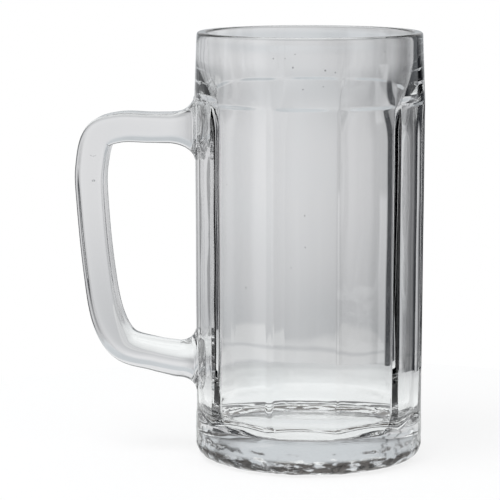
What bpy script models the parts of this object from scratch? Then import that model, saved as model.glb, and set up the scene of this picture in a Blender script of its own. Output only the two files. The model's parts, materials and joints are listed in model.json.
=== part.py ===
"""A clear glass beer mug: a ten-panelled body with a handle welded to its side.

Metres, +Z up. The mug stands on z = 0 with its handle towards -X. The body is turned about its own
upright axis, and an empty carries both pieces so that the row's origin is the middle of the footprint.
"""
import math

import bmesh
import bpy

# Driving dimensions of the body
HEIGHT = 0.156
SHOULDER_RADIUS = 0.0420
RIM_RADIUS = 0.0411
LOWER_RADIUS = 0.0415
BASE_RADIUS = 0.0417
HEEL_ROUND = 0.0050
FOOT_INNER_RADIUS = 0.0345
PUSH_UP = 0.0032
PUSH_UP_SLOPE = 0.0010
FLOOR_HEIGHT = 0.0108
FLOOR_ROUND = 0.0095

# Collar and rim
COLLAR_WALL = 0.0034
COLLAR_FOOT = 0.1470
RIM_ROUND = 0.0011
SHOULDER_HEIGHT = 0.1310

# The ten flat panels
PANELS = 10
PANEL_TOP = 0.1310
PANEL_BOTTOM = 0.0165
PANEL_LEDGE = 0.0010
PANEL_TOE = 0.0024
PANEL_DEPTH = 0.0009
PANEL_WALL = 0.0062
WELL_SHOULDER = 0.1180

# Driving dimensions of the handle, in the upright plane through the body's axis
HANDLE_REACH = 0.0854
GRIP_THICKNESS = 0.0106
GRIP_BREADTH = 0.0154
GRIP_SQUARENESS = 5.0
ARM_THICKNESS = 0.0105
UPPER_ARM_HEIGHT = 0.12075
UPPER_BEND = 0.0106
LOWER_ARM_HEIGHT = 0.0345
UPPER_PAD = 0.0232
LOWER_PAD = 0.0225
PAD_BREADTH = 0.0185
PAD_SPREAD = 0.0080
WELD_GAP = 0.0003

# Fineness of the faceted surfaces
ROUND_STEPS = 80
ARC_STEPS = 5
GRIP_SIDES = 24
SPLINE_STEPS = 6

FLAT_TO_CORNER = 1.0 / math.cos(math.pi / PANELS)
BODY_AXIS_X = (HANDLE_REACH - SHOULDER_RADIUS) / 2
CLEAR = 0.010
SMALL_CLEAR = 0.0003


def clear_scene():
    for old in list(bpy.data.objects):
        bpy.data.objects.remove(old, do_unlink=True)


def new_collection(name):
    made = bpy.data.collections.new(name)
    bpy.context.scene.collection.children.link(made)
    return made


def glass(name, colour, roughness):
    made = bpy.data.materials.new(name)
    made.use_nodes = True
    shader = made.node_tree.nodes["Principled BSDF"]
    shader.inputs["Base Color"].default_value = (*colour, 1.0)
    shader.inputs["Roughness"].default_value = roughness
    shader.inputs["Metallic"].default_value = 0.0
    shader.inputs["IOR"].default_value = 1.52
    shader.inputs["Transmission Weight"].default_value = 1.0
    return made


def arc(centre_r, centre_z, radius, start_deg, end_deg):
    """Points of a round corner in a profile, as (radius from the axis, height)."""
    points = []
    for step in range(ARC_STEPS + 1):
        angle = math.radians(start_deg + (end_deg - start_deg) * step / ARC_STEPS)
        points.append((centre_r + radius * math.cos(angle), centre_z + radius * math.sin(angle)))
    return points


def turned(name, profile, steps, collection):
    """A solid turned from a profile that runs from the axis out, down its outer side and back in."""
    mesh = bpy.data.meshes.new(name)
    edges = [(index, index + 1) for index in range(len(profile) - 1)]
    mesh.from_pydata([(r, 0.0, z) for r, z in profile], edges, [])
    made = bpy.data.objects.new(name, mesh)
    collection.objects.link(made)
    screw = made.modifiers.new("turn", "SCREW")
    screw.steps = steps
    screw.render_steps = steps
    screw.use_smooth_shade = steps > PANELS
    screw.use_merge_vertices = True
    screw.merge_threshold = 0.00001
    return made


def add_boolean(target, other, operation):
    cut = target.modifiers.new(operation.lower(), "BOOLEAN")
    cut.operation = operation
    cut.object = other
    cut.solver = "EXACT"


def as_cutter(guide):
    guide.hide_render = True
    guide.display_type = "WIRE"


def round_blank(grow):
    """The body's outside before its panels are pressed in, from the rim down to the underside."""
    rim = arc(RIM_RADIUS - RIM_ROUND, HEIGHT - RIM_ROUND, RIM_ROUND, 90, 0)
    heel = arc(BASE_RADIUS - HEEL_ROUND, HEEL_ROUND, HEEL_ROUND, 0, -90)
    profile = [(0.0, HEIGHT)] + rim
    profile += [(SHOULDER_RADIUS, SHOULDER_HEIGHT), (LOWER_RADIUS, PANEL_BOTTOM + PANEL_TOE)]
    profile += [(BASE_RADIUS, PANEL_BOTTOM - PANEL_TOE)] + heel
    profile += [(FOOT_INNER_RADIUS, 0.0), (FOOT_INNER_RADIUS - PUSH_UP_SLOPE, PUSH_UP), (0.0, PUSH_UP)]
    return [(r + grow if r > 0 else 0.0, z) for r, z in profile]


def panel_form(grow):
    """A ten-sided form that leaves the collar and base round and flattens the wall between them."""
    clear_flat = SHOULDER_RADIUS + CLEAR
    upper_flat = SHOULDER_RADIUS - PANEL_DEPTH
    lower_flat = LOWER_RADIUS - PANEL_DEPTH
    ramp_out = PANEL_DEPTH * 2
    flats = [
        (clear_flat, HEIGHT + CLEAR),
        (clear_flat, PANEL_TOP + PANEL_LEDGE),
        (upper_flat + ramp_out, PANEL_TOP + PANEL_LEDGE),
        (upper_flat, PANEL_TOP - PANEL_LEDGE),
        (lower_flat, PANEL_BOTTOM + PANEL_TOE),
        (lower_flat + ramp_out, PANEL_BOTTOM - PANEL_TOE),
        (clear_flat, PANEL_BOTTOM - PANEL_TOE),
        (clear_flat, -CLEAR),
    ]
    sides = [((flat + grow) * FLAT_TO_CORNER, z) for flat, z in flats]
    return [(0.0, HEIGHT + CLEAR)] + sides + [(0.0, -CLEAR)]


def outer_shape(name, grow, collection, cutters):
    """The body's outer surface as a full solid: what the round blank and the panel form share."""
    shape = turned(name, round_blank(grow), ROUND_STEPS, collection)
    form = turned(name + "_panel_form", panel_form(grow), PANELS, cutters)
    as_cutter(form)
    add_boolean(shape, form, "INTERSECT")
    return shape


def cavity(cutters):
    """The hollow for the drink: a round mouth that narrows to a ten-sided well with a rounded floor."""
    mouth_radius = RIM_RADIUS - COLLAR_WALL
    mouth_arc = arc(mouth_radius + RIM_ROUND, HEIGHT - RIM_ROUND, RIM_ROUND, 90, 180)
    top = HEIGHT + CLEAR
    round_part = [(0.0, top), (mouth_radius + RIM_ROUND, top)] + mouth_arc
    round_part += [(mouth_radius, 0.0), (0.0, 0.0)]
    well = turned("cavity", round_part, ROUND_STEPS, cutters)
    well.rotation_euler.z = math.pi / ROUND_STEPS

    upper_flat = SHOULDER_RADIUS - PANEL_DEPTH - PANEL_WALL
    lower_flat = LOWER_RADIUS - PANEL_DEPTH - PANEL_WALL
    wide_flat = SHOULDER_RADIUS + CLEAR
    collar_flat = mouth_radius + SMALL_CLEAR
    flats = [(wide_flat, top), (wide_flat, COLLAR_FOOT + wide_flat - collar_flat)]
    flats += [(collar_flat, COLLAR_FOOT), (upper_flat, WELL_SHOULDER)]
    flats += arc(lower_flat - FLOOR_ROUND, FLOOR_HEIGHT + FLOOR_ROUND, FLOOR_ROUND, 0, -90)
    sides = [(flat * FLAT_TO_CORNER, z) for flat, z in flats]
    core = turned("cavity_panel_form", [(0.0, top)] + sides + [(0.0, FLOOR_HEIGHT)], PANELS, cutters)
    as_cutter(core)
    add_boolean(well, core, "INTERSECT")
    as_cutter(well)
    return well


def make_body(parts, cutters):
    body = outer_shape("body", 0.0, parts, cutters)
    add_boolean(body, cavity(cutters), "DIFFERENCE")
    return body


def handle_route():
    """The middle of the handle, top weld to bottom weld, as (distance from the axis, height, thickness)."""
    grip = HANDLE_REACH - GRIP_THICKNESS / 2
    wall = SHOULDER_RADIUS
    bend = UPPER_BEND
    arm = UPPER_ARM_HEIGHT
    foot = LOWER_ARM_HEIGHT
    return [
        (wall - 0.0030, arm, UPPER_PAD + 0.0030),
        (wall + 0.0030, arm, ARM_THICKNESS + 0.0060),
        (wall + 0.0090, arm, ARM_THICKNESS + 0.0004),
        (wall + 0.0160, arm, ARM_THICKNESS),
        (grip - bend, arm, ARM_THICKNESS + 0.0002),
        (grip - bend * 0.29, arm - bend * 0.29, GRIP_THICKNESS + 0.0006),
        (grip, arm - bend - 0.0040, GRIP_THICKNESS + 0.0002),
        (grip - 0.0001, arm - bend - 0.0160, GRIP_THICKNESS),
        (grip - 0.0025, foot + 0.0335, GRIP_THICKNESS),
        (grip - 0.0058, foot + 0.0155, GRIP_THICKNESS + 0.0006),
        (grip - 0.0118, foot + 0.0057, GRIP_THICKNESS + 0.0013),
        (wall + 0.0150, foot + 0.0022, GRIP_THICKNESS + 0.0017),
        (wall + 0.0080, foot + 0.0007, GRIP_THICKNESS + 0.0024),
        (wall + 0.0030, foot + 0.0002, GRIP_THICKNESS + 0.0050),
        (wall - 0.0030, foot, LOWER_PAD + 0.0026),
    ]


def bar_section(collection):
    """The bar's cross-section, one unit wide: a square with well-rounded corners."""
    curve = bpy.data.curves.new("bar_section", "CURVE")
    curve.dimensions = "2D"
    spline = curve.splines.new("POLY")
    spline.points.add(GRIP_SIDES - 1)
    spline.use_cyclic_u = True
    for step, point in enumerate(spline.points):
        angle = 2 * math.pi * (step + 0.5) / GRIP_SIDES
        across, along = math.cos(angle), math.sin(angle)
        reach = (abs(across) ** GRIP_SQUARENESS + abs(along) ** GRIP_SQUARENESS) ** (-1 / GRIP_SQUARENESS)
        point.co = (0.5 * reach * across, 0.5 * reach * along, 0.0, 1.0)
    made = bpy.data.objects.new("bar_section", curve)
    collection.objects.link(made)
    return made


def handle_curve(collection, section):
    curve = bpy.data.curves.new("handle_route", "CURVE")
    curve.dimensions = "3D"
    curve.bevel_mode = "OBJECT"
    curve.bevel_object = section
    curve.resolution_u = SPLINE_STEPS
    curve.use_fill_caps = True
    route = handle_route()
    spline = curve.splines.new("BEZIER")
    spline.bezier_points.add(len(route) - 1)
    for point, (reach, height, thickness) in zip(spline.bezier_points, route):
        point.co = (-reach, 0.0, height)
        point.radius = thickness
        point.handle_left_type = "AUTO"
        point.handle_right_type = "AUTO"
    made = bpy.data.objects.new("handle_route", curve)
    collection.objects.link(made)
    return made


def breadth_share(reach):
    """How many times broader than thick the bar is, at a distance from the axis: less at the pads."""
    share = min(max((reach - SHOULDER_RADIUS) / PAD_SPREAD, 0.0), 1.0)
    pad_share = PAD_BREADTH / UPPER_PAD
    return pad_share + (GRIP_BREADTH / GRIP_THICKNESS - pad_share) * share


def make_handle(parts, cutters):
    """The drawn bar, broadened across the hand and cut where it meets the body's wall."""
    section = bar_section(cutters)
    curve = handle_curve(parts, section)
    bpy.context.view_layer.update()
    evaluated = curve.evaluated_get(bpy.context.evaluated_depsgraph_get())
    mesh = bpy.data.meshes.new_from_object(evaluated)
    mesh.name = "handle"
    bar = bmesh.new()
    bar.from_mesh(mesh)
    bmesh.ops.remove_doubles(bar, verts=bar.verts, dist=0.00001)
    for vertex in bar.verts:
        vertex.co.y *= breadth_share(-vertex.co.x)
    bmesh.ops.recalc_face_normals(bar, faces=bar.faces)
    bar.to_mesh(mesh)
    bar.free()
    handle = bpy.data.objects.new("handle", mesh)
    parts.objects.link(handle)
    bpy.data.objects.remove(curve, do_unlink=True)
    bpy.data.objects.remove(section, do_unlink=True)

    weld_face = outer_shape("weld_face", WELD_GAP, cutters, cutters)
    as_cutter(weld_face)
    add_boolean(handle, weld_face, "DIFFERENCE")
    return handle


def finish(piece, material):
    piece.data.materials.append(material)
    piece.data.shade_smooth()
    piece.data.set_sharp_from_angle(angle=math.radians(30))


def main():
    clear_scene()
    parts = new_collection("beer_glass")
    cutters = new_collection("beer_glass_cutters")
    stand = bpy.data.objects.new("mug_axis", None)
    stand.location = (BODY_AXIS_X, 0.0, 0.0)
    parts.objects.link(stand)
    body = make_body(parts, cutters)
    handle = make_handle(parts, cutters)
    finish(body, glass("body_glass", (0.93, 0.95, 0.96), 0.02))
    finish(handle, glass("handle_glass", (0.92, 0.94, 0.95), 0.03))
    for piece in list(parts.objects) + list(cutters.objects):
        if piece is not stand:
            piece.parent = stand


main()
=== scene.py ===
# %% [markdown]
# # A ten-sided glass beer mug
#
# The mug is two pieces of clear glass: a tall pressed body with ten flat panels, and a drawn handle that was
# welded on while both were hot. The solids are already in place when this file starts. Here both pieces
# get the fine surface that a solid of a few thousand facets leaves out: rounded ridges, a stippled heel,
# a wavy inner wall, seed bubbles and close welds.

# %% Load the solids
import json
import math
from collections import namedtuple

import bmesh
import bpy
from mathutils import Matrix, Vector, noise
from mathutils.geometry import interpolate_bezier

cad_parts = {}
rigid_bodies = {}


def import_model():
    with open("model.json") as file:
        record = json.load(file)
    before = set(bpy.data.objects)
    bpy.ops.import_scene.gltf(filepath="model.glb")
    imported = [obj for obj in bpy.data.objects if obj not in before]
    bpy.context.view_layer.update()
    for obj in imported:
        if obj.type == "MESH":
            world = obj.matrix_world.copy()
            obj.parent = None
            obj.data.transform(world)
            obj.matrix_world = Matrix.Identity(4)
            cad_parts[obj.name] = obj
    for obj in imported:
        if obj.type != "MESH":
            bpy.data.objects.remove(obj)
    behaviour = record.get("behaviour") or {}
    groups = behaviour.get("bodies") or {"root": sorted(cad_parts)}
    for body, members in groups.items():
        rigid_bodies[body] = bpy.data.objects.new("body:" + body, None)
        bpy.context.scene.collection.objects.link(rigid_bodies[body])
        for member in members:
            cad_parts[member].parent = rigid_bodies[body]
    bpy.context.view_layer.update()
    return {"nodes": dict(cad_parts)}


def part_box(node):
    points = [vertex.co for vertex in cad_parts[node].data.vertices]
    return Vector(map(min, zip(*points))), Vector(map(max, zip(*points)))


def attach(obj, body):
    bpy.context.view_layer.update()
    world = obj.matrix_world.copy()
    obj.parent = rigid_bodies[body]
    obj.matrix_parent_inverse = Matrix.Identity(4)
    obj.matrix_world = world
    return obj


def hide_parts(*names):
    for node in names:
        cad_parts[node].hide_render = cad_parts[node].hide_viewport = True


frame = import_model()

scene = bpy.context.scene
print("solids:", sorted(frame["nodes"]))

# %% [markdown]
# ## The main sizes
#
# Everything hangs on a few sizes that are read from the solids themselves, so the dressed mug can't drift
# away from them: where the body's axis stands, how wide the shoulder is, how tall the mug is and how far
# the handle reaches. A hair is taken off, so that the finer surface stays inside the solids' box. All other
# sizes are the maker's own, written in millimetres times `MM`.

# %% Main sizes
MM = 0.001
SHOULDER_CLEAR = 0.01 * MM
HANDLE_CLEAR = 0.25 * MM
PANELS = 10
PANEL_TURN = 2 * math.pi / PANELS

body_low, body_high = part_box("body")
handle_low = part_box("handle")[0]
AXIS_X = (body_low.x + body_high.x) / 2
SHOULDER_RADIUS = (body_high.x - body_low.x) / 2 - SHOULDER_CLEAR
HEIGHT = body_high.z
HANDLE_REACH = AXIS_X - handle_low.x - HANDLE_CLEAR
print(f"axis at x = {AXIS_X / MM:.1f} mm, height {HEIGHT / MM:.1f} mm")
print(f"shoulder {SHOULDER_RADIUS / MM:.1f} mm and handle {HANDLE_REACH / MM:.1f} mm from the axis")

# %% [markdown]
# ## The camera
#
# The picture was taken from a little under a metre away, with a long lens and from slightly above the rim,
# so the mouth shows as a thin ellipse. The camera walks round the mug's axis by a few degrees, because the
# handle doesn't lie quite square to the view. Its place could be found by eye, but the mouth's ellipse and
# the lean of the two sides fix the distance and the pitch much better.

# %% Camera
CAMERA_DISTANCE = 0.94655
CAMERA_HEIGHT = 0.21183
CAMERA_TURN = math.radians(3.3)
CAMERA_PITCH = 0.1426
CAMERA_YAW = 0.0229
CAMERA_LENS = 187.74

camera_data = bpy.data.cameras.new("camera")
camera_data.lens = CAMERA_LENS
camera_data.sensor_width = 36.0
camera_data.clip_start = 0.01
camera = bpy.data.objects.new("camera", camera_data)
camera.location = (
    AXIS_X + CAMERA_DISTANCE * math.sin(CAMERA_TURN),
    -CAMERA_DISTANCE * math.cos(CAMERA_TURN),
    CAMERA_HEIGHT,
)
camera.rotation_euler = (math.pi / 2 - CAMERA_PITCH, 0, CAMERA_TURN + CAMERA_YAW)
scene.collection.objects.link(camera)
scene.camera = camera
print("camera at", [round(value, 3) for value in camera.location])

# %% [markdown]
# ## Shader maths as Python
#
# Node trees are tedious to wire by hand. The first class wraps one output socket, so that an expression
# such as `1 - mask * 0.5` adds its own Math nodes. `Tree.node` makes every other node: settings go first,
# because some of them change which sockets there are, and the sockets' values or links follow.

# %% Sockets that can be added and multiplied
class Socket:
    def __init__(self, tree, socket):
        self.tree = tree
        self.socket = socket

    def maths(self, operation, *values):
        return self.tree.node("ShaderNodeMath", {"operation": operation}, dict(enumerate(values)))["Value"]

    def __add__(self, other):
        return self.maths("ADD", self, other)

    def __sub__(self, other):
        return self.maths("SUBTRACT", self, other)

    def __rsub__(self, other):
        return self.maths("SUBTRACT", other, self)

    def __mul__(self, other):
        return self.maths("MULTIPLY", self, other)

    __radd__ = __add__
    __rmul__ = __mul__

    def larger(self, other):
        return self.maths("MAXIMUM", self, other)

    def ramp(self, start, end, low=0.0, high=1.0):
        """Ease from low at start to high at end."""
        values = {"Value": self, "From Min": start, "From Max": end, "To Min": low, "To Max": high}
        return self.tree.node("ShaderNodeMapRange", {"interpolation_type": "SMOOTHSTEP"}, values)["Result"]

    def band(self, rise, fall):
        """1 between two ramps, each given as its start and end, and 0 outside them."""
        return self.ramp(*rise) - self.ramp(*fall)


class Tree:
    def __init__(self, owner):
        owner.use_nodes = True
        self.nodes = owner.node_tree.nodes
        self.links = owner.node_tree.links
        self.nodes.clear()

    def node(self, kind, settings=None, sockets=None):
        made = self.nodes.new(kind)
        for name, value in (settings or {}).items():
            setattr(made, name, value)
        usable = [socket for socket in made.inputs if not socket.is_unavailable]
        for name, value in (sockets or {}).items():
            socket = usable[name] if isinstance(name, int) else next(s for s in usable if s.name == name)
            if isinstance(value, Socket):
                self.links.new(value.socket, socket)
            else:
                socket.default_value = value
        return {output.name: Socket(self, output) for output in made.outputs if not output.is_unavailable}

    def mixed(self, factor, first, second):
        """A colour that goes from first to second."""
        colours = {"Factor": factor, "A": first, "B": second}
        return self.node("ShaderNodeMix", {"data_type": "RGBA"}, colours)["Result"]


print("socket maths ready")

# %% [markdown]
# ## From a bmesh to an object
#
# Every piece is shaped in a bmesh, Blender's mesh for editing, and handed to the scene at the end. The
# object itself stays at the origin: the place of a piece is in its mesh, as it is in the solids.

# %% Objects
def object_from(bm, name, material):
    """Put a bmesh into a new object of the scene, with one material."""
    mesh = bpy.data.meshes.new(name)
    bm.to_mesh(mesh)
    bm.free()
    mesh.materials.append(material)
    made = bpy.data.objects.new(name, mesh)
    scene.collection.objects.link(made)
    return made


print("objects can be made")

# %% [markdown]
# ## The table
#
# Clear glass has no colour of its own. What shows in it is the room, bent: so the room is part of the
# look. The mug stands on a round white table top that glows, and its glow is painted light: brightest beside
# the mug and a shade darker towards its edge. That edge, seen through the panels, is the line that crosses
# the lower third of the glass. Two thin rings of painted shadow lie round the foot: bent by the thick base,
# they draw the double line round the well's floor.
# A plain plane would do for the shadow, but not for these lines. The top takes light, so it keeps a soft
# shadow, and towards the camera most of it is plain white.

# %% Table colours
WHITE = (1, 1, 1, 1)
TABLE_RADIUS = 0.188
TABLE_EDGE = 0.012
TABLE_SINK = 0.2 * MM
TABLE_PAINT = (0.86, 0.87, 0.88, 1)
TABLE_NEAR = (0.955, 0.975, 0.970, 1)
TABLE_FAR = (0.60, 0.615, 0.615, 1)
TABLE_RIM = (0.47, 0.48, 0.485, 1)
TABLE_FADE = (0.088, TABLE_RADIUS)
TABLE_RIM_FADE = (TABLE_RADIUS - 1.5 * TABLE_EDGE, TABLE_RADIUS - 0.5 * TABLE_EDGE)
TABLE_GLOW = 0.80
# painted shadow: the colour of two thin rings round the foot
PAINTED_RING_SHADOW = (0.04, 0.04, 0.04, 1)
INNER_RING = ((0.0472, 0.0482), (0.0502, 0.0510))
OUTER_RING = ((0.0522, 0.0528), (0.0540, 0.0546))

table_material = bpy.data.materials.new("white_table")
tree = Tree(table_material)
paths = tree.node("ShaderNodeLightPath")
place = tree.node("ShaderNodeTexCoord")["Object"]
offset = {"operation": "DISTANCE"}
away = tree.node("ShaderNodeVectorMath", offset, {0: place, 1: (AXIS_X, 0, -TABLE_SINK)})["Value"]
# painted light: the glow is brightest beside the mug and darker towards the edge and the rim
top = tree.mixed(away.ramp(*TABLE_FADE), TABLE_NEAR, TABLE_FAR)
top = tree.mixed(away.ramp(*TABLE_RIM_FADE), top, TABLE_RIM)
# painted shadow: two thin dark rings round the foot
top = tree.mixed(away.band(*INNER_RING) + away.band(*OUTER_RING), top, PAINTED_RING_SHADOW)
top = tree.mixed(paths["Is Camera Ray"], top, WHITE)
seen = paths["Is Camera Ray"].larger(paths["Is Glossy Ray"]).larger(paths["Is Transmission Ray"])
lit = tree.node("ShaderNodeBsdfDiffuse", None, {"Color": TABLE_PAINT})["BSDF"]
glow = tree.node("ShaderNodeEmission", None, {"Color": top, "Strength": 1.0})["Emission"]
surface = tree.node("ShaderNodeMixShader", None, {0: seen * TABLE_GLOW, 1: lit, 2: glow})["Shader"]
tree.node("ShaderNodeOutputMaterial", None, {"Surface": surface})
print("table colours:", table_material.name)

# %% [markdown]
# ## The table's top
#
# The top itself is one flat disc, a hair below the foot, so that the two surfaces don't lie in one plane.
# Nothing shows its thickness or its legs, so it has none.

# %% Table top
bm = bmesh.new()
place = Matrix.Translation((AXIS_X, 0, -TABLE_SINK))
bmesh.ops.create_circle(bm, cap_ends=True, radius=TABLE_RADIUS, segments=128, matrix=place)
table = object_from(bm, "table_top", table_material)
print(f"table top {2 * TABLE_RADIUS:.2f} m across")

# %% [markdown]
# ## Light on the paper
#
# Round the table hangs grey paper, the same on both sides of the room so that the mug reads as glass from
# wherever you look. Photographers call this bright-field lighting: pale paper fills the glass, and the dark
# gaps between the sheets draw black lines down its edges. The light comes from the left, so the first sheet
# fades out to the right, further round the higher it hangs. Two soft folds are a little brighter, and two
# narrow gaps on the left draw the thin lines beside the handle. Separate sheets could be modelled, but one
# drum with a formula for its light is easier to adjust. Bearings are in degrees and heights in millimetres.

# %% Light on the paper
SHEET_TWIST = (60, 150, 0, 30)
SHEET_DIMS = (-11, 6)
SHEET_ENDS = (5, 18)
SHEET_DIM_SHARE = 0.31
FOLD = ((0.3, 0.9), (2.4, 3.6))
FOLD_LIGHT = 0.07
LOW_FOLD = ((4.1, 4.7), (5.5, 7.0))
LOW_FOLD_LIGHT = 0.17
LOW_FOLD_TOP = (8, 16)
LEFT_GAPS = [((-34.0, -33.4), (-32.6, -32.0)), ((-42.6, -42.0), (-41.2, -40.6))]
LEFT_GAP_SHADE = 0.6
LEFT_DIMS = (-32, -22)
LEFT_ENDS = (-76, -71)
LEFT_DIM_SHARE = 0.12
RIGHT_SHEET = ((39, 44), (61, 69))
NEXT_SHEET = (80, 89)


def paper_light(bearing, height):
    """How brightly the paper is lit at a bearing, counted to the right from straight ahead."""
    turned = bearing - height.ramp(*SHEET_TWIST)
    light = 1 - SHEET_DIM_SHARE * turned.ramp(*SHEET_DIMS)
    light = light - (1 - SHEET_DIM_SHARE) * turned.ramp(*SHEET_ENDS)
    light = light + FOLD_LIGHT * bearing.band(*FOLD)
    light = light + LOW_FOLD_LIGHT * bearing.band(*LOW_FOLD) * (1 - height.ramp(*LOW_FOLD_TOP))
    for gap in LEFT_GAPS:
        light = light - LEFT_GAP_SHADE * bearing.band(*gap)
    light = light - LEFT_DIM_SHARE * (1 - bearing.ramp(*LEFT_DIMS))
    light = light - (1 - LEFT_DIM_SHARE) * (1 - bearing.ramp(*LEFT_ENDS))
    return light + bearing.band(*RIGHT_SHEET) + bearing.ramp(*NEXT_SHEET)


print(f"paper: {len(LEFT_GAPS)} narrow gaps on the left, a second sheet on the right")

# %% [markdown]
# ## The backdrop
#
# The paper is palest just above the table and darker below, where it curls over a bar. The curl's edge is
# wavy, and through the panels it shows as a row of pale clouds. A bluish band runs round the paper near the
# height of the rim, and far above it the paper ends in the dark. Real paper would have to be lit, with lamps
# to balance. This one glows by itself, so its tones are those written here.

# %% Backdrop colours
PAPER_FLOOR = (0.640, 0.648, 0.655, 1)
PAPER_CURL = (0.700, 0.705, 0.710, 1)
PAPER_LOW = (0.560, 0.568, 0.580, 1)
PAPER_MIDDLE = (0.755, 0.757, 0.768, 1)
PAPER_HIGH = (0.570, 0.598, 0.620, 1)
ROOM_DARK = (0.020, 0.022, 0.026, 1)
LOW_TO_MIDDLE = (-100, 30)
HIGH_BAND = ((45, 130), (215, 240))
PAPER_ENDS = (390, 540)
CURL_TOP = (-82, -77)
CURL_FOOT = (-88, -86)
CURL_WAVE = 6
CURL_WAVE_LENGTH = 11.5
CURL_WAVE_START = 2
BAR_BAND = ((-97, -95), (-90, -88))
FLOOR_LINE = (-101, -99)
QUARTER_TURN = 90

backdrop_material = bpy.data.materials.new("grey_paper")
tree = Tree(backdrop_material)
parts = tree.node("ShaderNodeSeparateXYZ", None, {"Vector": tree.node("ShaderNodeTexCoord")["Object"]})
bearing = parts["X"].maths("ARCTAN2", parts["X"] - AXIS_X, parts["Y"]) * math.degrees(1)
bearing = bearing.maths("WRAP", bearing, QUARTER_TURN, -QUARTER_TURN)
height = parts["Z"] * (1 / MM)
wave = (bearing - CURL_WAVE_START) * (2 * math.pi / CURL_WAVE_LENGTH)
wave = wave.maths("COSINE", wave) * CURL_WAVE
curl = (1 - (height - wave).ramp(*CURL_TOP)) * height.ramp(*CURL_FOOT)
paper = tree.mixed(height.ramp(*LOW_TO_MIDDLE), PAPER_LOW, PAPER_MIDDLE)
paper = tree.mixed(height.band(*HIGH_BAND), paper, PAPER_HIGH)
paper = tree.mixed(curl, paper, PAPER_CURL)
paper = tree.mixed(height.band(*BAR_BAND), paper, PAPER_CURL)
paper = tree.mixed(height.ramp(*FLOOR_LINE), PAPER_FLOOR, paper)
lit = paper_light(bearing, height) * (1 - height.ramp(*PAPER_ENDS))
paper = tree.mixed(lit, ROOM_DARK, paper)
glow = tree.node("ShaderNodeEmission", None, {"Color": paper, "Strength": 1.0})["Emission"]
tree.node("ShaderNodeOutputMaterial", None, {"Surface": glow})
print("backdrop colours:", backdrop_material.name)

# %% [markdown]
# ## The backdrop's drum
#
# A cone with two equal radii and no caps is an open drum. It stands all round the mug, so that a ray which
# leaves the glass on any side meets paper. Only rays that have met the glass can see it: it throws no shadow
# and adds no light to the table.

# %% Backdrop
BACKDROP_RADIUS = 0.70
BACKDROP_LOW = -0.50
BACKDROP_HIGH = 0.75

bm = bmesh.new()
bmesh.ops.create_cone(
    bm,
    cap_ends=False,
    segments=128,
    radius1=BACKDROP_RADIUS,
    radius2=BACKDROP_RADIUS,
    depth=BACKDROP_HIGH - BACKDROP_LOW,
    matrix=Matrix.Translation((AXIS_X, 0, (BACKDROP_HIGH + BACKDROP_LOW) / 2)),
)
backdrop = object_from(bm, "backdrop", backdrop_material)
backdrop.visible_camera = False
backdrop.visible_diffuse = False
backdrop.visible_shadow = False
print(f"backdrop {BACKDROP_RADIUS} m behind the mug")

# %% [markdown]
# ## The room
#
# Above the paper the room is dark, apart from one large soft box straight overhead, which is what glints
# in the floor of the mug. Below it the floor is pale. A picture of a room could light the glass too, but a
# few ramps are lighter and say what they do. The world shader looks at nothing but the direction and the
# kind of a ray: the camera sees plain white, and the table is lit by an even fill.

# %% Room
SOFT_BOX = (1.05, 1.05, 1.05, 1)
SOFT_BOX_EDGE = (57, 66)
ROOM_FLOOR_EDGE = (-30, -10)
ROOM_FILL = (0.80, 0.80, 0.80, 1)

world = bpy.data.worlds.new("room")
scene.world = world
tree = Tree(world)
paths = tree.node("ShaderNodeLightPath")
direction = tree.node("ShaderNodeTexCoord")["Generated"]
upward = tree.node("ShaderNodeSeparateXYZ", None, {"Vector": direction})["Z"]
elevation = upward.maths("ARCSINE", upward) * math.degrees(1)
studio = tree.mixed(elevation.ramp(*SOFT_BOX_EDGE), ROOM_DARK, SOFT_BOX)
studio = tree.mixed(elevation.ramp(*ROOM_FLOOR_EDGE), PAPER_FLOOR, studio)
colour = tree.mixed(paths["Is Glossy Ray"].larger(paths["Is Transmission Ray"]), ROOM_FILL, studio)
colour = tree.mixed(paths["Is Camera Ray"], colour, WHITE)
background = tree.node("ShaderNodeBackground", None, {"Color": colour, "Strength": 1.0})["Background"]
tree.node("ShaderNodeOutputWorld", None, {"Surface": background})
print("room: dark, with a soft box overhead")

# %% [markdown]
# ## The lamp
#
# One wide soft lamp hangs above the mug, to its left and in front, and gives the table its faint shadow. A
# small lamp would draw a hard one. The glass doesn't mirror the lamp, because the soft box already stands
# for it there.
#
# Light that enters a thick wall at a slant can be caught between its two faces. Real glass swallows a little
# of it at every turn, and the edges of a mug look dark. A limit on the bounces does the same here: what is
# still inside after fourteen of them counts as lost. With a higher limit the dark edges turn grey, and with
# a lower one they turn black.

# %% Lamp
LAMP_SIZE = 0.50
LAMP_POWER = 4.0
LAMP_PLACE = Vector((AXIS_X - 0.25, -0.30, 0.85))
BOUNCE_LIMIT = 14

lamp_data = bpy.data.lights.new("soft_lamp", "AREA")
lamp_data.shape = "DISK"
lamp_data.size = LAMP_SIZE
lamp_data.energy = LAMP_POWER
lamp = bpy.data.objects.new("soft_lamp", lamp_data)
lamp.location = LAMP_PLACE
lamp.rotation_euler = (Vector((AXIS_X, 0, HEIGHT / 2)) - LAMP_PLACE).to_track_quat("-Z", "Y").to_euler()
lamp.visible_glossy = False
lamp.visible_transmission = False
scene.collection.objects.link(lamp)
scene.view_settings.view_transform = "Standard"

cycles = scene.cycles
cycles.max_bounces = BOUNCE_LIMIT
cycles.transmission_bounces = BOUNCE_LIMIT
cycles.glossy_bounces = BOUNCE_LIMIT
cycles.blur_glossy = 0.0
print(f"lamp of {LAMP_POWER} W, {LAMP_SIZE} m across")
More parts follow.
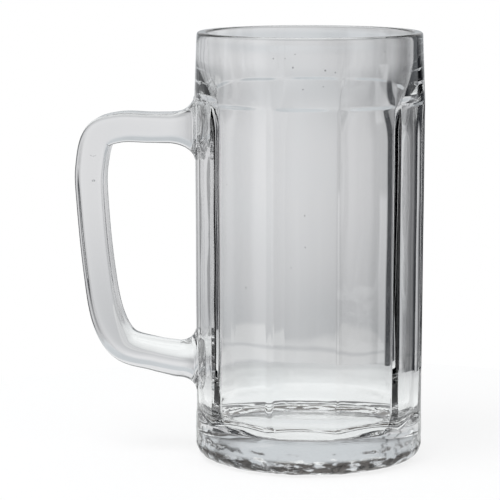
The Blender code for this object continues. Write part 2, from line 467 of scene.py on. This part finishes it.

# %% [markdown]
# ## Grain and painted shade on the heel
#
# Near the table the mould was stippled: a fine grain hides the scratches that a foot collects. The heel also
# shows dark stripes drawn out along the foot, and these are painted shade. The grain could be modelled down
# to its last pit, but only its larger bumps are. The finest are left to the material, as a mask on height
# with a bump for the grain, and a dark tint of painted shade makes the stripes.

# %% Heel grain and painted shade
STIPPLE_TOP = (7 * MM, 9 * MM)
STIPPLE_SCALE = 700.0
STREAK_TOP = (5.0 * MM, 6.6 * MM)
STREAK_INNER_EDGE = (36 * MM, 37.5 * MM)
STREAK_STRETCH = (1, 1, 2.5)
STREAK_SCALE = 170.0
STREAK_CUT = (0.40, 0.52)


def noise_on(tree, place, scale, detail):
    sockets = {"Vector": place, "Scale": scale, "Detail": detail}
    return tree.node("ShaderNodeTexNoise", None, sockets)["Fac"]


def heel_grain_and_shade(tree, place):
    """Three masks: the stippled heel, its grain and the painted shade drawn out along the foot."""
    height = tree.node("ShaderNodeSeparateXYZ", None, {"Vector": place})["Z"]
    heel = 1 - height.ramp(*STIPPLE_TOP)
    grain = heel * noise_on(tree, place, STIPPLE_SCALE, detail=2.0)
    multiply = {"operation": "MULTIPLY"}
    level = tree.node("ShaderNodeVectorMath", multiply, {0: place, 1: (1, 1, 0)})["Vector"]
    distance = {"operation": "DISTANCE"}
    around = tree.node("ShaderNodeVectorMath", distance, {0: level, 1: (AXIS_X, 0, 0)})["Value"]
    outside = (1 - height.ramp(*STREAK_TOP)) * around.ramp(*STREAK_INNER_EDGE)
    drawn = tree.node("ShaderNodeVectorMath", multiply, {0: place, 1: STREAK_STRETCH})["Vector"]
    # painted shade: dark stripes drawn out along the foot, on the outside of the heel
    painted_streaks = outside * noise_on(tree, drawn, STREAK_SCALE, detail=3.0).ramp(*STREAK_CUT)
    return heel, grain, painted_streaks


print(f"heel stippled up to {STIPPLE_TOP[1] / MM:.0f} mm")

# %% [markdown]
# ## Clear glass
#
# Pressed soda-lime glass bends light by about 1.52 and is a touch cool when you look along it. A plain glass
# shader would look like a drawing, because no real glass is perfectly polished: fingers leave faint smudges,
# and the mould leaves slow ripples. So the roughness wanders between almost nothing and a very light haze,
# and a weak bump bends the reflections. The drawn handle ripples less than the pressed body.

# %% Glass material
GLASS_TINT = (0.985, 0.993, 0.996, 1)
GLASS_IOR = 1.52
SMUDGE_SCALE = 38.0
SMUDGE_TINT_CUT = (0.35, 0.75)
SMUDGE_HAZE = (0.50, 0.78, 0.0, 0.030)
RIPPLE_SCALE = 90.0
BODY_RIPPLE = 0.05
HANDLE_RIPPLE = 0.02
STIPPLE_RELIEF = 0.25
STIPPLE_HAZE = 0.03
# painted shade: the colour of the dark stripes on the heel
PAINTED_HEEL_SHADE = (0.026, 0.021, 0.018, 1)
BUMP_STRENGTH = 0.30
BUMP_DISTANCE = 0.4 * MM


def clear_glass(name, ripple, stippled):
    material = bpy.data.materials.new(name)
    tree = Tree(material)
    place = tree.node("ShaderNodeTexCoord")["Object"]
    smudge = noise_on(tree, place, SMUDGE_SCALE, detail=4.0)
    haze = smudge.ramp(*SMUDGE_HAZE)
    tint = tree.mixed(smudge.ramp(*SMUDGE_TINT_CUT), WHITE, GLASS_TINT)
    relief = noise_on(tree, place, RIPPLE_SCALE, detail=1.0) * ripple
    # a stippled glass also gets the heel's painted shade
    if stippled:
        heel, grain, painted_streaks = heel_grain_and_shade(tree, place)
        haze = haze + heel * STIPPLE_HAZE
        # painted shade: dark stripes on the heel, as a dark tint of the glass's colour
        tint = tree.mixed(painted_streaks, tint, PAINTED_HEEL_SHADE)
        relief = relief + grain * STIPPLE_RELIEF
    bumps = {"Strength": BUMP_STRENGTH, "Distance": BUMP_DISTANCE, "Height": relief}
    sockets = {
        "Base Color": tint,
        "Roughness": haze,
        "IOR": GLASS_IOR,
        "Transmission Weight": 1.0,
        "Normal": tree.node("ShaderNodeBump", None, bumps)["Normal"],
    }
    shader = tree.node("ShaderNodeBsdfPrincipled", None, sockets)["BSDF"]
    tree.node("ShaderNodeOutputMaterial", None, {"Surface": shader})
    return material


BODY_GLASS = clear_glass("body_glass", BODY_RIPPLE, stippled=True)
HANDLE_GLASS = clear_glass("handle_glass", HANDLE_RIPPLE, stippled=False)
print("materials:", BODY_GLASS.name, HANDLE_GLASS.name)

# %% [markdown]
# ## Lines for a profile
#
# A turned shape starts as a line of (radius, height) points. Four small helpers draw its stretches: an arc,
# a straight line cut into rows, a step from 0 to 1 without corners, and an S-shaped line made with that
# step. A curve object could hold the line too, but points can be counted and placed where they are needed.

# %% Lines for a profile
def arc(centre, radius, start, end, steps):
    """Points on an arc, with its angles in degrees from the radius's own direction."""
    turns = [math.radians(start + (end - start) * step / steps) for step in range(steps + 1)]
    return [(centre[0] + radius * math.cos(turn), centre[1] + radius * math.sin(turn)) for turn in turns]


def rows(start, end, spacing):
    """Points along a straight line, about a spacing apart, without the last one."""
    count = max(1, round(math.dist(start, end) / spacing))
    return [
        (start[0] + (end[0] - start[0]) * step / count, start[1] + (end[1] - start[1]) * step / count)
        for step in range(count)
    ]


def eased(value):
    """From 0 to 1 without corners."""
    value = min(max(value, 0), 1)
    return value * value * (3 - 2 * value)


def sweep(start, end, steps):
    """Points on an S-shaped line between two heights, without the last one."""
    shares = [step / steps for step in range(steps)]
    return [
        (start[0] + (end[0] - start[0]) * eased(share), start[1] + (end[1] - start[1]) * share)
        for share in shares
    ]


print("profile helpers ready")

# %% [markdown]
# ## The plunger's side
#
# A pressed glass has two sides that were shaped by two tools: the plunger inside and the mould outside. The
# plunger's line runs from the middle of the well's floor, round the floor's edge, up the thick wall, out
# through a soft shoulder and up the thinner collar to the rim. Both tools could be two meshes, cut from one
# another, but one line round both sides gives a closed wall with no cutting.

# %% Plunger line
COLLAR_WALL = 3.4 * MM
RIM_RADIUS = SHOULDER_RADIUS - 0.9 * MM
RIM_ROUND = 1.1 * MM
RIM_LEVEL = HEIGHT - RIM_ROUND
PANEL_TOP = HEIGHT - 25.0 * MM
FLOOR_HEIGHT = 10.8 * MM
FLOOR_ROUND = 9.5 * MM
WELL_TOP = SHOULDER_RADIUS - 6.8 * MM
WELL_FOOT = SHOULDER_RADIUS - 7.2 * MM
WELL_SHOULDER = PANEL_TOP - 13.0 * MM
COLLAR_INSIDE = RIM_RADIUS - COLLAR_WALL
COLLAR_FOOT = PANEL_TOP + 16.0 * MM
FLOOR_ROWS = 2.5 * MM
FLOOR_STEPS = 10
WALL_ROWS = 4 * MM
SHOULDER_STEPS = 24
COLLAR_ROWS = 2 * MM

well_line = rows((0, FLOOR_HEIGHT), (WELL_FOOT - FLOOR_ROUND, FLOOR_HEIGHT), FLOOR_ROWS)
well_line += arc((WELL_FOOT - FLOOR_ROUND, FLOOR_HEIGHT + FLOOR_ROUND), FLOOR_ROUND, -90, 0, FLOOR_STEPS)
well_line += rows(well_line.pop(), (WELL_TOP, WELL_SHOULDER), WALL_ROWS)
well_line += sweep((WELL_TOP, WELL_SHOULDER), (COLLAR_INSIDE, COLLAR_FOOT), SHOULDER_STEPS)
well_line += rows((COLLAR_INSIDE, COLLAR_FOOT), (COLLAR_INSIDE, RIM_LEVEL), COLLAR_ROWS)
print(f"plunger line: {len(well_line)} points")

# %% [markdown]
# ## The mould's side
#
# The mould's line goes on over the rounded rim, down the outer wall, round the heel, across the narrow ring
# that the mug stands on, and to the middle of the push-up under the foot. Its rows are close together where
# the panels begin and end, because the wall steps in there within a few millimetres.

# %% Mould line
LOWER_RADIUS = SHOULDER_RADIUS - 0.5 * MM
BASE_RADIUS = SHOULDER_RADIUS - 0.3 * MM
PANEL_BOTTOM = 16.5 * MM
LEDGE_SPAN = 1.2 * MM
LEDGE_UPPER = (SHOULDER_RADIUS, PANEL_TOP + LEDGE_SPAN)
LEDGE_LOWER = (SHOULDER_RADIUS, PANEL_TOP - LEDGE_SPAN)
TOE_SPAN = 4 * MM
TOE_UPPER = (LOWER_RADIUS, PANEL_BOTTOM + TOE_SPAN)
TOE_LOWER = (BASE_RADIUS, PANEL_BOTTOM - TOE_SPAN)
HEEL_ROUND = 5.0 * MM
FOOT_INNER_RADIUS = 34.5 * MM
PUSH_UP = 3.2 * MM
PUSH_UP_RADIUS = FOOT_INNER_RADIUS - 1.0 * MM
RIM_STEPS = 7
SIDE_ROWS = 2.5 * MM
LEDGE_ROWS = 0.2 * MM
TOE_ROWS = 0.5 * MM
HEEL_ROWS = 0.6 * MM
HEEL_STEPS = 14

mould_line = arc((COLLAR_INSIDE + RIM_ROUND, RIM_LEVEL), RIM_ROUND, 180, 90, RIM_STEPS)
mould_line += arc((RIM_RADIUS - RIM_ROUND, RIM_LEVEL), RIM_ROUND, 90, 0, RIM_STEPS)
mould_line += rows(mould_line.pop(), LEDGE_UPPER, SIDE_ROWS)
mould_line += rows(LEDGE_UPPER, LEDGE_LOWER, LEDGE_ROWS)
mould_line += rows(LEDGE_LOWER, TOE_UPPER, WALL_ROWS)
mould_line += rows(TOE_UPPER, TOE_LOWER, TOE_ROWS)
mould_line += rows(TOE_LOWER, (BASE_RADIUS, HEEL_ROUND), HEEL_ROWS)
mould_line += arc((BASE_RADIUS - HEEL_ROUND, HEEL_ROUND), HEEL_ROUND, 0, -90, HEEL_STEPS)
mould_line += rows(mould_line.pop(), (FOOT_INNER_RADIUS, 0), HEEL_ROWS)
mould_line += rows((FOOT_INNER_RADIUS, 0), (PUSH_UP_RADIUS, PUSH_UP), HEEL_ROWS)
mould_line += rows((PUSH_UP_RADIUS, PUSH_UP), (0, PUSH_UP), FLOOR_ROWS) + [(0, PUSH_UP)]
print(f"mould line: {len(mould_line)} points")

# %% [markdown]
# ## Turning the body
#
# `spin` turns the line once round the axis. A whole-number layer on the vertices remembers which of them
# belong to the plunger's side, because after the spin they all look alike.

# %% Spin
TURN_STEPS = 40 * PANELS
MERGE_DISTANCE = 0.001 * MM

bm = bmesh.new()
inside = bm.verts.layers.int.new("inside")
line = []
for radius, height in well_line + mould_line:
    vertex = bm.verts.new((radius, 0, height))
    vertex[inside] = len(line) < len(well_line)
    line.append(vertex)
edges = [bm.edges.new(pair) for pair in zip(line, line[1:])]
bmesh.ops.spin(
    bm,
    geom=line + edges,
    cent=(0, 0, 0),
    axis=(0, 0, 1),
    angle=2 * math.pi,
    steps=TURN_STEPS,
    use_merge=True,
)
bmesh.ops.remove_doubles(bm, verts=bm.verts, dist=MERGE_DISTANCE)
print(f"turned body: {len(bm.verts)} vertices, {len(bm.faces)} faces")

# %% [markdown]
# ## The shape of the panels
#
# Outside, each of the ten panels is a flat, a little closer to the axis than the round blank. A soft minimum
# takes the smaller of the two distances and rounds the ridge between them, as fire-polishing does. At the
# ledge and at the toe the panel runs out into the round wall. Flats could be cut off with planes, but then
# every ridge and every ledge would need a bevel.

# %% Panels outside
PANEL_LEDGE = 1.0 * MM
PANEL_TOE = 2.4 * MM
PANEL_DEPTH = 0.23 * MM
RIDGE_SOFTNESS = 3.5 * MM
RIDGE_SWELL = 0.245 * MM


def soft_minimum(first, second, softness):
    near = max(softness - abs(first - second), 0) / softness
    return min(first, second) - near * near * softness / 4


def wall_radius(height):
    """The round blank's radius between the bottom and the top of the panels."""
    share = (height - PANEL_BOTTOM) / (PANEL_TOP - PANEL_BOTTOM)
    return LOWER_RADIUS + (SHOULDER_RADIUS - LOWER_RADIUS) * share


def lean(turn):
    """How far the flat panel at this angle runs out, as a share of its distance from the axis."""
    return 1 / math.cos(turn % PANEL_TURN - PANEL_TURN / 2)


def mould_radius(radius, height, turn):
    """The outer surface: the round blank with ten panels pressed into it."""
    above = eased((height - PANEL_TOP + PANEL_LEDGE) / (2 * PANEL_LEDGE))
    below = eased((PANEL_BOTTOM + PANEL_TOE - height) / (2 * PANEL_TOE))
    flat = (wall_radius(height) - PANEL_DEPTH) * lean(turn)
    pressed = min(radius, soft_minimum(wall_radius(height) + RIDGE_SWELL, flat, RIDGE_SOFTNESS))
    return pressed + (radius - pressed) * (above + below)


panel_width = 2 * (LOWER_RADIUS - PANEL_DEPTH) * math.tan(PANEL_TURN / 2)
print(f"{PANELS} panels, each about {panel_width / MM:.0f} mm wide")

# %% [markdown]
# ## The shape of the well
#
# The plunger has ten sides too, which is what lets the panels look flat all through. Its sides are bulged
# and its corners wide, it sat a degree off the mould, and towards the collar its corners fade out.

# %% Panels inside
WELL_BULGE = 0.30
WELL_CORNER = 1.067
WELL_CORNER_SOFTNESS = 4.9 * MM
CORNER_FADE = (120 * MM, 142 * MM)
PLUNGER_TURN = math.radians(1.0)


def well_radius(radius, height, turn):
    """The inner surface: ten-sided in the well, round in the collar."""
    if height >= COLLAR_FOOT:
        return radius
    share = 1 - eased((height - CORNER_FADE[0]) / (CORNER_FADE[1] - CORNER_FADE[0]))
    bulged = radius * (1 + (lean(turn - PLUNGER_TURN) - 1) * (1 - WELL_BULGE))
    cornered = soft_minimum(radius * WELL_CORNER, bulged, WELL_CORNER_SOFTNESS)
    return radius + (cornered - radius) * share


print(f"corners of the well fade out at {CORNER_FADE[1] / MM:.0f} mm")

# %% [markdown]
# ## Pressing the panels
#
# Now each vertex moves in or out until it lies on its tool. Before that, the vertices are drawn together
# towards the ridges, so that the rounding there has enough of them to bend smoothly.

# %% Press
RIDGE_CROWDING = 0.3

for vertex in bm.verts:
    radius = math.hypot(vertex.co.x, vertex.co.y)
    turn = math.atan2(vertex.co.y, vertex.co.x)
    turn -= RIDGE_CROWDING / PANELS * math.sin(PANELS * turn)
    shaped = well_radius if vertex[inside] else mould_radius
    radius = shaped(radius, vertex.co.z, turn)
    vertex.co.x = radius * math.cos(turn)
    vertex.co.y = radius * math.sin(turn)
print("panels pressed,", PANELS, "of them")

# %% [markdown]
# ## The mould's own marks
#
# The plunger leaves slow waves on the inside, which is why lines seen through the glass wander. The heel
# and the foot are stippled on purpose. Both are noise. The grain cuts in and hardly ever stands out, so the
# mug keeps its size, and no point sinks below the table. A bump in the material would not do for these: light
# has to be bent by the surface itself, and the outline of the heel shows the grain.

# %% Waves and stipple
WAVE_SIZE = 24 * MM
WELL_WAVE = 0.14 * MM
MOULD_WAVE = 0.05 * MM
WAVE_TOP = HEIGHT - 4 * MM
HEEL_TOP = 6.5 * MM
HEEL_FADE = 3 * MM
GRAIN_SIZE = 3.0 * MM
GRAIN_DEPTH = 0.45 * MM
FINE_GRAIN = 2.3
FINE_GRAIN_SHARE = 0.5
DOWN = Vector((0, 0, -1))

bm.normal_update()
for vertex in bm.verts:
    place = vertex.co.copy()
    wave = noise.noise(place / WAVE_SIZE)
    outward = Vector((place.x, place.y, 0)).normalized()
    if vertex[inside]:
        if place.z < WAVE_TOP:
            vertex.co += outward * wave * WELL_WAVE
        continue
    vertex.co += outward * (wave - 1) * MOULD_WAVE
    heel = 1 - eased((place.z - HEEL_TOP) / HEEL_FADE)
    if place.xy.length < PUSH_UP_RADIUS:
        heel = 0
    grain = noise.noise(place / GRAIN_SIZE)
    grain += FINE_GRAIN_SHARE * noise.noise(place / GRAIN_SIZE * FINE_GRAIN)
    inward = -vertex.normal if vertex.normal.dot(outward + DOWN) > 0 else vertex.normal
    vertex.co += inward * heel * (0.5 + 0.5 * grain) * GRAIN_DEPTH
    vertex.co.z = max(vertex.co.z, 0)
print("waves and stipple done")

# %% [markdown]
# ## Seeds
#
# Small bubbles that never rose out of the melt are called seeds. Each is a tiny ball inside the wall whose
# faces point into the bubble: to the renderer that is a void in the glass. Dark dots in the material would
# be simpler, but they would lie on the surface and wouldn't glint. Each seed has a bearing round the axis
# in degrees, and a height and a radius in millimetres.

# %% Seeds in the body
SEED_DEPTH = 2.2 * MM
SEED_STRETCH = 1.3
SEEDS = [
    (-105, 148.7, 0.20),
    (-99, 148.8, 0.16),
    (-94, 150.3, 0.16),
    (-95, 145.7, 0.27),
    (-79, 144.7, 0.28),
    (-74, 144.0, 0.22),
    (-90, 138.1, 0.20),
    (-80, 139.1, 0.18),
    (-46, 150.7, 0.18),
    (-33, 148.2, 0.20),
    (-89, 93.7, 0.22),
    (-121, 67.0, 0.24),
    (-96, 75.2, 0.15),
    (40, 118.0, 0.24),
    (95, 72.0, 0.26),
    (150, 98.0, 0.22),
]


def add_void(bm, place, size):
    """A bubble: a small ball turned inside out."""
    matrix = Matrix.Translation(place) @ Matrix.Diagonal((*size, 1))
    made = bmesh.ops.create_icosphere(bm, subdivisions=2, radius=1, matrix=matrix)
    faces = {face for vertex in made["verts"] for face in vertex.link_faces}
    bmesh.ops.reverse_faces(bm, faces=list(faces))


bmesh.ops.recalc_face_normals(bm, faces=bm.faces)
bm.verts.layers.int.remove(inside)
for bearing, height, radius in SEEDS:
    turn = math.radians(bearing)
    middle = mould_radius(SHOULDER_RADIUS, height * MM, turn) - SEED_DEPTH
    place = Vector((middle * math.cos(turn), middle * math.sin(turn), height * MM))
    add_void(bm, place, (radius * MM, radius * MM, radius * SEED_STRETCH * MM))
print("seeds:", len(SEEDS))

# %% [markdown]
# ## The finished body
#
# The body was shaped round the world's own axis, where the sums are short. Now the mesh moves to the mug's
# axis, gets smooth shading and its glass, and takes the place of the plain solid.

# %% Body piece
def finished_piece(bm, name, material):
    """Move the mesh to the mug's axis and hand it over as a smooth object."""
    bmesh.ops.translate(bm, verts=bm.verts, vec=(AXIS_X, 0, 0))
    piece = object_from(bm, name, material)
    piece.data.shade_smooth()
    print(f"{name}: {sum(len(face.vertices) - 2 for face in piece.data.polygons)} triangles")
    return piece


body = finished_piece(bm, "mug_body", BODY_GLASS)
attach(body, "root")
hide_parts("body")

# %% [markdown]
# ## The handle's route
#
# The handle is one rod of glass: out from the body along a level arm, round a tight bend, down a grip that
# leans in slightly, and back through a wide sweep to the lower weld. The route is a list of given points.
# Each has its distance from the axis, its height, the rod's thickness there, and how square the rod is: 2 is
# an ellipse, and 9 is nearly a rectangle.

# %% Handle route
GRIP_THICKNESS = 10.4 * MM
GRIP_BREADTH = 15.4 * MM
GRIP_CLEAR = 0.3 * MM
ARM_THICKNESS = 10.5 * MM
UPPER_ARM = 120.75 * MM
UPPER_BEND = 10.6 * MM
LOWER_ARM = 34.5 * MM
GRIP = HANDLE_REACH - GRIP_CLEAR - GRIP_THICKNESS / 2
WALL = SHOULDER_RADIUS

ROUTE = [
    (WALL + 9.0 * MM, UPPER_ARM, ARM_THICKNESS + 0.3 * MM, 7.0),
    (WALL + 16.0 * MM, UPPER_ARM, ARM_THICKNESS, 9.0),
    (GRIP - UPPER_BEND, UPPER_ARM, ARM_THICKNESS + 0.2 * MM, 9.0),
    (GRIP - 0.29 * UPPER_BEND, UPPER_ARM - 0.29 * UPPER_BEND, GRIP_THICKNESS + 0.8 * MM, 8.5),
    (GRIP, UPPER_ARM - UPPER_BEND - 4.0 * MM, GRIP_THICKNESS + 0.4 * MM, 9.0),
    (GRIP - 0.1 * MM, UPPER_ARM - UPPER_BEND - 16.0 * MM, GRIP_THICKNESS, 9.0),
    (GRIP - 2.5 * MM, LOWER_ARM + 33.5 * MM, GRIP_THICKNESS, 9.0),
    (GRIP - 5.8 * MM, LOWER_ARM + 15.5 * MM, GRIP_THICKNESS + 0.8 * MM, 6.0),
    (GRIP - 11.8 * MM, LOWER_ARM + 5.7 * MM, GRIP_THICKNESS + 1.5 * MM, 3.6),
    (WALL + 15.0 * MM, LOWER_ARM + 2.2 * MM, GRIP_THICKNESS + 1.9 * MM, 2.6),
    (WALL + 6.0 * MM, LOWER_ARM + 0.5 * MM, GRIP_THICKNESS + 3.0 * MM, 2.4),
]
print(f"handle: {len(ROUTE)} points, grip {GRIP / MM:.1f} mm from the axis")

# %% [markdown]
# ## A smooth curve through the route
#
# Between two points of the route runs a Bezier curve whose handles follow the points before and after, so
# that the rod has no kinks. The thickness is carried along as a third coordinate and is eased in the same
# way. How square the rod is changes evenly from point to point.

# %% Smooth route
ROUTE_STEPS = 12


def smooth_route(points, steps):
    """Points on a smooth curve through a list of points, with every number of a point eased alike."""
    points = [Vector(point) for point in points]
    before = [points[0] * 2 - points[1], *points]
    after = [*points[2:], points[-1] * 2 - points[-2]]
    found = []
    for back, start, end, ahead in zip(before, points, points[1:], after):
        stride = (end - start).length
        leaving = (end - back) * (stride / (stride + (start - back).length) / 3)
        arriving = (ahead - start) * (stride / (stride + (ahead - end).length) / 3)
        found += interpolate_bezier(start, start + leaving, end - arriving, end, steps + 1)[:-1]
    return found + [points[-1]]


def squareness_at(index):
    """How square the outline is at a station, between the two points of the route beside it."""
    point, step = divmod(index, ROUTE_STEPS)
    following = min(point + 1, len(ROUTE) - 1)
    return ROUTE[point][3] + (ROUTE[following][3] - ROUTE[point][3]) * step / ROUTE_STEPS


route = smooth_route([row[:3] for row in ROUTE], ROUTE_STEPS)
length = sum((end.xy - start.xy).length for start, end in zip(route, route[1:]))
print(f"handle route: {len(route)} stations, {length / MM:.0f} mm")

# %% [markdown]
# ## Fillets at the welds
#
# Hot glass creeps up the wall it is pressed on, so at both ends the rod swells into a fillet: a quarter
# round that is nearly, but not quite, level with the wall. The stations of the whole rod are listed from
# the upper weld to the lower one, each with its place, thickness, sideways flare and squareness.

# %% Stations of the handle
UPPER_FILLET = (9.0 * MM, 6.3 * MM)
LOWER_FILLET = (6.0 * MM, 4.8 * MM)
SIDE_FLARE = 0.5
FILLET_STEPS = 12
FILLET_END = math.radians(82)

Station = namedtuple("Station", "place thickness flare squareness")


def fillet_stations(root, size, squareness):
    """Stations from the wall out to the rod's own section, for a fillet's reach and rise."""
    reach, rise = size
    full = rise / (1 - math.cos(FILLET_END))
    found = []
    for step in range(FILLET_STEPS):
        turn = FILLET_END * (1 - step / FILLET_STEPS)
        place = Vector((-WALL - reach * (1 - math.sin(turn)), 0, root.y))
        extra = full * (1 - math.cos(turn))
        found.append(Station(place, root.z + 2 * extra, SIDE_FLARE * extra, squareness))
    return found


stations = fillet_stations(route[0], UPPER_FILLET, ROUTE[0][3])
for index, point in enumerate(route):
    stations.append(Station(Vector((-point.x, 0, point.y)), point.z, 0, squareness_at(index)))
stations += reversed(fillet_stations(route[-1], LOWER_FILLET, ROUTE[-1][3]))
print(f"handle: {len(stations)} stations with the fillets")

# %% [markdown]
# ## Sweeping the handle
#
# A ring of vertices is carried along the stations: each step extrudes the ring's edges, moves the new ring
# to the next station and gives it that station's outline. A bevelled curve would sweep one outline along
# the whole route, but this rod is flat and square at the grip and rounder at the lower weld.

# %% Handle sweep
RING_SIDES = 96
CIRCLE_SQUARENESS = 2


def station_matrix(index):
    """Where a unit ring goes at one station: across the rod, along Y, and facing the way it runs."""
    station = stations[index]
    ahead = stations[min(index + 1, len(stations) - 1)].place
    behind = stations[max(index - 1, 0)].place
    heading = (ahead - behind).normalized()
    across = Vector((heading.z, 0, -heading.x)) * station.thickness / 2
    side = Vector((0, 1, 0)) * (GRIP_BREADTH + station.flare) / 2
    return Matrix.Translation(station.place) @ Matrix((across, side, heading)).transposed().to_4x4()


def fit_ring(ring, placed, index):
    """Give a ring the outline of its station, from a circle to nearly a rectangle, and put it there."""
    following = station_matrix(index)
    before = stations[index - 1].squareness if index else CIRCLE_SQUARENESS
    power = before / stations[index].squareness
    for vertex in ring:
        flat = placed.inverted() @ vertex.co
        across = math.copysign(abs(flat.x) ** power, flat.x)
        side = math.copysign(abs(flat.y) ** power, flat.y)
        vertex.co = following @ Vector((across, side, 0))
    return following


def grown_ring(bm, edges):
    """Extrude a ring of edges, and give the new ring's vertices and edges."""
    grown = bmesh.ops.extrude_edge_only(bm, edges=edges)["geom"]
    vertices = [item for item in grown if isinstance(item, bmesh.types.BMVert)]
    return vertices, [item for item in grown if isinstance(item, bmesh.types.BMEdge)]


bm = bmesh.new()
ring = bmesh.ops.create_circle(bm, cap_ends=False, radius=1, segments=RING_SIDES)["verts"]
placed = fit_ring(ring, Matrix.Identity(4), 0)
edges = list(bm.edges)
for index in range(1, len(stations)):
    ring, edges = grown_ring(bm, edges)
    placed = fit_ring(ring, placed, index)
print(f"handle swept through {len(stations)} stations")

# %% [markdown]
# ## Closing the pads
#
# The two open ends are closed with smaller and smaller rings, down to one point. Rings are better here than
# one large face, because the pad still has to bend round the body.

# %% Pads
PAD_RINGS = (0.90, 0.78, 0.62, 0.42, 0.2)


def close_pad(bm, edges):
    """Run rings in to the middle of a pad, each a little smaller, and close the last one."""
    middle = sum((vertex.co for edge in edges for vertex in edge.verts), Vector()) / (2 * len(edges))
    size = 1.0
    for share in PAD_RINGS:
        ring, edges = grown_ring(bm, edges)
        for vertex in ring:
            vertex.co = middle + (vertex.co - middle) * (share / size)
        size = share
    bmesh.ops.collapse(bm, edges=edges)


halfway = (UPPER_ARM + LOWER_ARM) / 2
pad_ends = [edge for edge in bm.edges if edge.is_boundary]
upper_edges = [edge for edge in pad_ends if edge.verts[0].co.z > halfway]
lower_edges = [edge for edge in pad_ends if edge.verts[0].co.z < halfway]
close_pad(bm, upper_edges)
close_pad(bm, lower_edges)
print(f"handle: {len(bm.faces)} faces, {sum(edge.is_boundary for edge in bm.edges)} open edges")

# %% [markdown]
# ## Fitting the pads to the wall
#
# Each vertex near the wall is moved along X, so that the pad follows the body's own panels and ridges. A
# hair of air stays between the two pieces, as it does in a poor weld, and that draws the seam.

# %% Fit to the wall
WELD_GAP = 0.06 * MM
WRAP_REACH = UPPER_FILLET[0]
REACH_ROUNDS = 4


def wall_reach(side, height):
    """How far the wall stands out towards the handle, in a few rounds: its angle hangs on the answer."""
    reach = wall_radius(height)
    for attempt in range(REACH_ROUNDS):
        radius = mould_radius(wall_radius(height), height, math.atan2(side, -reach))
        reach = math.sqrt(radius * radius - side * side)
    return reach


for vertex in bm.verts:
    distance = -vertex.co.x - WALL
    wrap = 1 - eased(distance / WRAP_REACH)
    if wrap > 0:
        surface = wall_reach(vertex.co.y, vertex.co.z)
        vertex.co.x = -(distance + WELD_GAP + WALL + (surface - WALL) * wrap)
bmesh.ops.recalc_face_normals(bm, faces=bm.faces)
print(f"pads fitted, {WELD_GAP / MM:.2f} mm off the wall")

# %% [markdown]
# ## Bubbles in the handle
#
# Air is caught where the hot handle folds against the wall, in a ragged row along the upper seam. Each of
# these bubbles is a void, like the seeds. Noise shifts it and changes its size a little, which is shorter
# than a list of places. Blender starts its vector noise from the clock, so it gets a fixed seed first: then
# the row comes out the same in every run.

# %% Bubbles along the seam
SEAM_BUBBLES = 17
SEAM_SPAN = 20 * MM
SEAM_INSET = 0.7 * MM
SEAM_SIDE = -7.2 * MM
SEAM_SIZE = 0.62 * MM
SEAM_SHAPE = (0.7, 1, 1.3)
SIDE_JITTER = 0.7 * MM
SIZE_JITTER = 0.35 * MM
INSET_JITTER = 0.15 * MM
JITTER_SEED = 6

noise.seed_set(JITTER_SEED)
for index in range(SEAM_BUBBLES):
    height = UPPER_ARM + SEAM_SPAN * (index / (SEAM_BUBBLES - 1) - 0.5)
    jitter = noise.noise_vector(Vector((0.37 * index, 2.0, 0.5)))
    side = SEAM_SIDE + SIDE_JITTER * jitter.x
    size = SEAM_SIZE + SIZE_JITTER * jitter.y
    distance = wall_reach(side, height) + SEAM_INSET + INSET_JITTER * jitter.z
    add_void(bm, Vector((-distance, side, height)), [share * size for share in SEAM_SHAPE])
print(f"bubbles along the seam: {SEAM_BUBBLES}")

# %% [markdown]
# ## Marks in the grip
#
# Two more marks sit in the grip, just under the front face: a small bubble, and a flat one that was drawn
# out into a short arc. The arc is a row of tiny voids, because one bent void would need a sweep of its own.

# %% Marks in the grip
GRIP_FRONT = -GRIP_BREADTH / 2 + 0.6 * MM
BUBBLE_PLACE = Vector((-78.4 * MM, GRIP_FRONT, 101.6 * MM))
BUBBLE_SIZE = (0.70 * MM, 0.34 * MM, 0.44 * MM)
ARC_PLACE = (-78.5 * MM, 110.6 * MM)
ARC_SIZE = (0.24 * MM, 0.12 * MM, 0.10 * MM)
ARC_STEP = 0.45 * MM
ARC_RISE = 0.10 * MM
ARC_STEPS = (-2, -1, 0, 1, 2)

add_void(bm, BUBBLE_PLACE, BUBBLE_SIZE)
for step in ARC_STEPS:
    place = Vector((ARC_PLACE[0] + step * ARC_STEP, GRIP_FRONT, ARC_PLACE[1] + ARC_RISE * step ** 2))
    add_void(bm, place, ARC_SIZE)
print(f"marks in the grip: one bubble and an arc of {len(ARC_STEPS)}")

# %% [markdown]
# ## The finished handle
#
# The handle is handed over in the same way as the body. It stays a piece of its own: on the real mug it was
# a second gather of glass.

# %% Handle piece
handle = finished_piece(bm, "mug_handle", HANDLE_GLASS)
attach(handle, "root")
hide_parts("handle")
